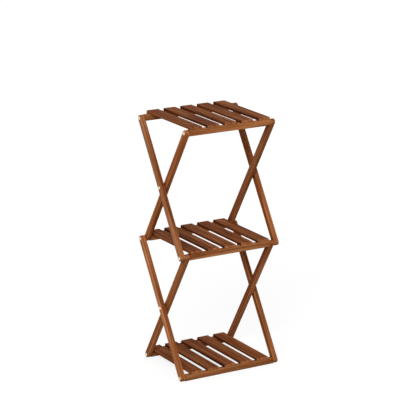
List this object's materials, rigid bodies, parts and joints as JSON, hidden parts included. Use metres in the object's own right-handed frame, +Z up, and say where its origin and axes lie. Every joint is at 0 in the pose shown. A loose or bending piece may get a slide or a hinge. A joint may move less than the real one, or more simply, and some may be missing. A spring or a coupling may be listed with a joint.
{
  "type": "folding plant stand",
  "caption": "Folding wooden plant stand: slatted shelves on a scissor frame of crossed legs, with shelves that lift so the frame folds flat.",
  "frame": {"origin": "on the floor, below the middle of the stand's outline", "axes": "+X along the rails to the right, +Y from front to back, +Z up"},
  "size_m": [0.4052, 0.3118, 0.911],
  "materials": {
    "leg_wood": "oiled reddish-brown hardwood",
    "rail_wood": "oiled reddish-brown hardwood",
    "slat_wood": "oiled reddish-brown hardwood",
    "batten_wood": "oiled reddish-brown hardwood",
    "bolt_metal": "pale zinc-plated, satin",
    "insert_brass": "plain turned",
    "washer_metal": "zinc-plated",
    "screw_metal": "zinc-plated"
  },
  "bodies": {
    "base_crossbar": {"bottom_back_rail": "rail_wood", "bottom_back_inserts": "insert_brass", "bottom_back_bolts": "bolt_metal"},
    "lower_inner_legs": {"lower_inner_leg_left": "leg_wood", "lower_inner_leg_right": "leg_wood", "lower_cross_inserts": "insert_brass", "lower_cross_bolts": "bolt_metal", "lower_cross_washers": "washer_metal"},
    "lower_outer_legs": {"lower_outer_leg_left": "leg_wood", "lower_outer_leg_right": "leg_wood"},
    "upper_inner_legs": {"upper_inner_leg_left": "leg_wood", "upper_inner_leg_right": "leg_wood", "upper_cross_inserts": "insert_brass", "upper_cross_bolts": "bolt_metal", "upper_cross_washers": "washer_metal"},
    "upper_outer_legs": {"upper_outer_leg_left": "leg_wood", "upper_outer_leg_right": "leg_wood"},
    "middle_crossbar": {"middle_back_rail": "rail_wood", "middle_back_inserts": "insert_brass", "middle_back_bolts": "bolt_metal", "middle_back_washers": "washer_metal"},
    "top_crossbar": {"top_back_rail": "rail_wood", "top_back_inserts": "insert_brass", "top_back_bolts": "bolt_metal"},
    "bottom_shelf": {"bottom_front_rail": "rail_wood", "bottom_front_inserts": "insert_brass", "bottom_front_bolts": "bolt_metal", "bottom_slat_1": "slat_wood", "bottom_slat_2": "slat_wood", "bottom_slat_3": "slat_wood", "bottom_slat_4": "slat_wood", "bottom_slat_5": "slat_wood", "bottom_stop_batten": "batten_wood", "bottom_slat_screws": "screw_metal"},
    "middle_shelf": {"middle_front_rail": "rail_wood", "middle_front_inserts": "insert_brass", "middle_front_bolts": "bolt_metal", "middle_front_washers": "washer_metal", "middle_slat_1": "slat_wood", "middle_slat_2": "slat_wood", "middle_slat_3": "slat_wood", "middle_slat_4": "slat_wood", "middle_slat_5": "slat_wood", "middle_stop_batten": "batten_wood", "middle_slat_screws": "screw_metal"},
    "top_shelf": {"top_front_rail": "rail_wood", "top_front_inserts": "insert_brass", "top_front_bolts": "bolt_metal", "top_slat_1": "slat_wood", "top_slat_2": "slat_wood", "top_slat_3": "slat_wood", "top_slat_4": "slat_wood", "top_slat_5": "slat_wood", "top_stop_batten": "batten_wood", "top_slat_screws": "screw_metal"}
  },
  "joints": [
    {"name": "fold", "type": "hinge", "parent": "base_crossbar", "child": "lower_inner_legs", "pos_m": [0, 0.1351, 0.011], "axis": [-1, 0, 0], "range_deg": [0, 29.5]},
    {"name": "lower_crossing", "type": "hinge", "parent": "lower_inner_legs", "child": "lower_outer_legs", "pos_m": [0, -0.0049, 0.231], "axis": [1, 0, 0], "range_deg": [0, 59]},
    {"name": "middle_back_hinge", "type": "hinge", "parent": "lower_outer_legs", "child": "upper_inner_legs", "pos_m": [0, 0.1351, 0.451], "axis": [-1, 0, 0], "range_deg": [0, 59]},
    {"name": "upper_crossing", "type": "hinge", "parent": "upper_inner_legs", "child": "upper_outer_legs", "pos_m": [0, -0.0049, 0.671], "axis": [1, 0, 0], "range_deg": [0, 59]},
    {"name": "middle_back_turn", "type": "hinge", "parent": "upper_inner_legs", "child": "middle_crossbar", "pos_m": [0, 0.1351, 0.451], "axis": [1, 0, 0], "range_deg": [0, 29.5]},
    {"name": "top_back_turn", "type": "hinge", "parent": "upper_outer_legs", "child": "top_crossbar", "pos_m": [0, 0.1351, 0.891], "axis": [-1, 0, 0], "range_deg": [0, 29.5]},
    {"name": "bottom_shelf_lift", "type": "hinge", "parent": "lower_outer_legs", "child": "bottom_shelf", "pos_m": [0, -0.1449, 0.011], "axis": [1, 0, 0], "range_deg": [0, 59]},
    {"name": "middle_shelf_lift", "type": "hinge", "parent": "lower_inner_legs", "child": "middle_shelf", "pos_m": [0, -0.1449, 0.451], "axis": [1, 0, 0], "range_deg": [0, 118]},
    {"name": "top_shelf_lift", "type": "hinge", "parent": "upper_inner_legs", "child": "top_shelf", "pos_m": [0, -0.1449, 0.891], "axis": [1, 0, 0], "range_deg": [0, 118]}
  ],
  "couplings": [
    {"joint": "lower_crossing", "follows": "fold", "ratio": 2},
    {"joint": "middle_back_hinge", "follows": "fold", "ratio": 2},
    {"joint": "upper_crossing", "follows": "fold", "ratio": 2},
    {"joint": "middle_back_turn", "follows": "fold", "ratio": 1},
    {"joint": "top_back_turn", "follows": "fold", "ratio": 1},
    {"joint": "bottom_shelf_lift", "follows": "fold", "ratio": 2},
    {"joint": "middle_shelf_lift", "follows": "fold", "ratio": 4},
    {"joint": "top_shelf_lift", "follows": "fold", "ratio": 4}
  ]
}
